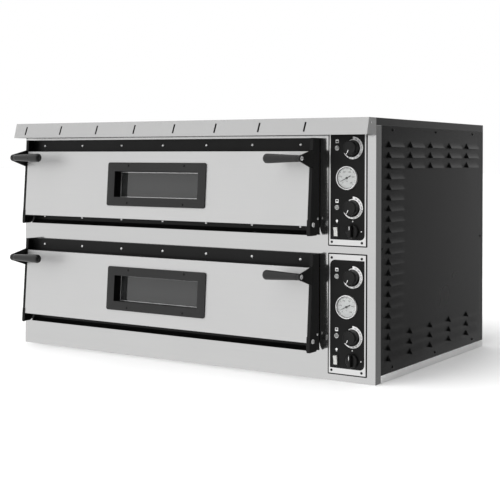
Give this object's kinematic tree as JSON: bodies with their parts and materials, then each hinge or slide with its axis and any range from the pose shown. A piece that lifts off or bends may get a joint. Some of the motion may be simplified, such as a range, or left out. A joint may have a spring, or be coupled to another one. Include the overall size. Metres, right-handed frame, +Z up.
{
  "type": "countertop pizza oven",
  "caption": "Wide two-deck electric countertop pizza oven with drop-down glazed doors, side-louvred black casing, steam hood and a control column on the right.",
  "frame": {"origin": "centre of the casing underside, on the surface that the oven stands on", "axes": "+X to the right seen from the front, +Y to the back, +Z up"},
  "size_m": [1.166, 0.8114, 0.642],
  "materials": {
    "front_steel": "satin stainless, finely brushed",
    "cover_steel": "satin stainless",
    "back_sheet": "dark coated sheet",
    "side_paint": "black textured powder coat",
    "dark_screws": "blackened screws",
    "oven_lining": "aluminised steel sheet, matt",
    "mineral_wool": "mineral wool",
    "plain_steel": "plain zinc-coated steel",
    "refractory": "rough refractory stone",
    "element_tube": "dull oxidised tube",
    "lamp_ceramic": "white ceramic and bulb",
    "clear_glass": "clear glass",
    "probe_copper": "copper probe",
    "panel_face": "steel plate with a black printed face",
    "gauge_case": "bright bezel and white dial",
    "switchgear": "moulded switchgear",
    "black_nylon": "black nylon",
    "lamp_lens": "faceted lens",
    "bright_screws": "bright screws and bolts",
    "needle": "black pointer",
    "knob_plastic": "black moulded plastic",
    "rocker_plastic": "white moulded plastic",
    "door_paint": "black satin enamel",
    "bezel_paint": "dark grey satin enamel",
    "window_glass": "tinted heat-resisting glass",
    "grip_plastic": "black bakelite"
  },
  "bodies": {
    "oven": {"base_tray": "cover_steel", "front_frame": "front_steel", "left_side_panel": "side_paint", "right_side_panel": "side_paint", "back_panel": "back_sheet", "top_cover": "side_paint", "hood": "cover_steel", "casing_screws": "dark_screws", "upper_chamber": "oven_lining", "lower_chamber": "oven_lining", "chamber_insulation": "mineral_wool", "deck_supports": "plain_steel", "hearth_stones": "refractory", "stone_racks": "plain_steel", "heating_elements": "element_tube", "oven_lamps": "lamp_ceramic", "lamp_glasses": "clear_glass", "sensor_probes": "probe_copper", "control_bay_wall": "plain_steel", "upper_control_panel": "panel_face", "lower_control_panel": "panel_face", "panel_screws": "dark_screws", "gauge_cases": "gauge_case", "gauge_glasses": "clear_glass", "thermostat_bodies": "switchgear", "selector_switch_bodies": "switchgear", "light_switch_housings": "black_nylon", "pilot_lamps": "lamp_lens", "contactors": "switchgear", "cable_gland": "black_nylon", "hinge_arms": "door_paint", "hinge_bolts": "bright_screws"},
    "upper_door": {"upper_door_shell": "door_paint", "upper_door_skin": "front_steel", "upper_door_liner": "oven_lining", "upper_door_insulation": "mineral_wool", "upper_window_bezel": "bezel_paint", "upper_window_glass": "window_glass", "upper_handle_plates": "door_paint", "upper_handle_grips": "grip_plastic", "upper_door_screws": "bright_screws"},
    "lower_door": {"lower_door_shell": "door_paint", "lower_door_skin": "front_steel", "lower_door_liner": "oven_lining", "lower_door_insulation": "mineral_wool", "lower_window_bezel": "bezel_paint", "lower_window_glass": "window_glass", "lower_handle_plates": "door_paint", "lower_handle_grips": "grip_plastic", "lower_door_screws": "bright_screws"},
    "upper_gauge_needle": {"upper_gauge_needle": "needle"},
    "lower_gauge_needle": {"lower_gauge_needle": "needle"},
    "upper_top_heat_knob": {"upper_top_heat_knob": "knob_plastic"},
    "upper_floor_heat_knob": {"upper_floor_heat_knob": "knob_plastic"},
    "lower_top_heat_knob": {"lower_top_heat_knob": "knob_plastic"},
    "lower_floor_heat_knob": {"lower_floor_heat_knob": "knob_plastic"},
    "upper_selector_knob": {"upper_selector_knob": "knob_plastic"},
    "lower_selector_knob": {"lower_selector_knob": "knob_plastic"},
    "upper_light_rocker": {"upper_light_rocker": "rocker_plastic"},
    "lower_light_rocker": {"lower_light_rocker": "rocker_plastic"}
  },
  "joints": [
    {"name": "upper_door_hinge", "type": "hinge", "parent": "oven", "child": "upper_door", "pos_m": [-0.06, -0.3796, 0.381], "axis": [1, 0, 0], "range_deg": [0, 90]},
    {"name": "lower_door_hinge", "type": "hinge", "parent": "oven", "child": "lower_door", "pos_m": [-0.06, -0.3796, 0.096], "axis": [1, 0, 0], "range_deg": [0, 90]},
    {"name": "upper_gauge_needle_turn", "type": "hinge", "parent": "oven", "child": "upper_gauge_needle", "pos_m": [0.4975, -0.3485, 0.4961], "axis": [0, 1, 0], "range_deg": [-18, 252]},
    {"name": "upper_top_heat_knob_turn", "type": "hinge", "parent": "oven", "child": "upper_top_heat_knob", "pos_m": [0.513, -0.355, 0.5691], "axis": [0, 1, 0], "range_deg": [0, 270]},
    {"name": "upper_floor_heat_knob_turn", "type": "hinge", "parent": "oven", "child": "upper_floor_heat_knob", "pos_m": [0.513, -0.355, 0.424], "axis": [0, 1, 0], "range_deg": [0, 270]},
    {"name": "upper_selector_knob_turn", "type": "hinge", "parent": "oven", "child": "upper_selector_knob", "pos_m": [0.513, -0.355, 0.3667], "axis": [0, 1, 0], "range_deg": [0, 90]},
    {"name": "upper_light_rocker_tilt", "type": "hinge", "parent": "oven", "child": "upper_light_rocker", "pos_m": [0.467, -0.3445, 0.365], "axis": [-1, 0, 0], "range_deg": [0, 16]},
    {"name": "lower_gauge_needle_turn", "type": "hinge", "parent": "oven", "child": "lower_gauge_needle", "pos_m": [0.4975, -0.3485, 0.1826], "axis": [0, 1, 0], "range_deg": [-18, 252]},
    {"name": "lower_top_heat_knob_turn", "type": "hinge", "parent": "oven", "child": "lower_top_heat_knob", "pos_m": [0.513, -0.355, 0.2556], "axis": [0, 1, 0], "range_deg": [0, 270]},
    {"name": "lower_floor_heat_knob_turn", "type": "hinge", "parent": "oven", "child": "lower_floor_heat_knob", "pos_m": [0.513, -0.355, 0.1105], "axis": [0, 1, 0], "range_deg": [0, 270]},
    {"name": "lower_selector_knob_turn", "type": "hinge", "parent": "oven", "child": "lower_selector_knob", "pos_m": [0.513, -0.355, 0.0532], "axis": [0, 1, 0], "range_deg": [0, 90]},
    {"name": "lower_light_rocker_tilt", "type": "hinge", "parent": "oven", "child": "lower_light_rocker", "pos_m": [0.467, -0.3445, 0.0515], "axis": [-1, 0, 0], "range_deg": [0, 16]}
  ]
}
